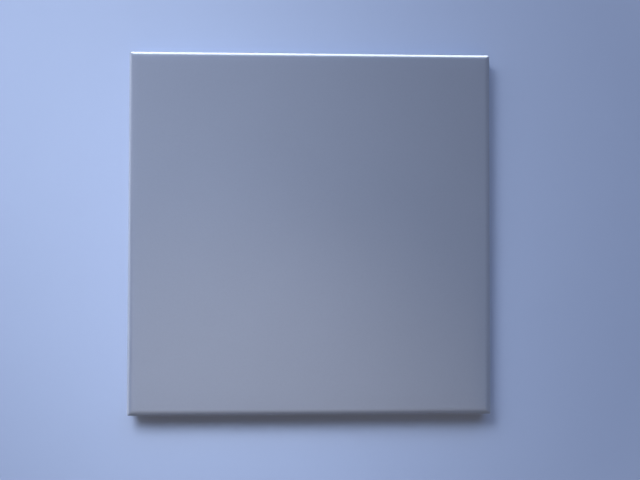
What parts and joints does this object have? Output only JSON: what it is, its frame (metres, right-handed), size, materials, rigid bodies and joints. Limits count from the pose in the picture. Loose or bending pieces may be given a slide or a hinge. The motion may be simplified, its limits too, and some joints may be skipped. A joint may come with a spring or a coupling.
{
  "type": "glazed ceramic wall tile",
  "caption": "Square glazed ceramic wall tile with a flat glossy face, rounded cushion edges meeting in mitred corners, drafted sides and a keyed back for adhesive.",
  "frame": {"origin": "middle of the back, level with the rim and ribs that the tile rests on", "axes": "+Z out of the glazed face, +X and +Y along the sides"},
  "size_m": [0.15, 0.15, 0.0065],
  "materials": {
    "glaze": "gloss"
  },
  "bodies": {
    "root": {"wall_tile": "glaze"}
  },
  "joints": []
}
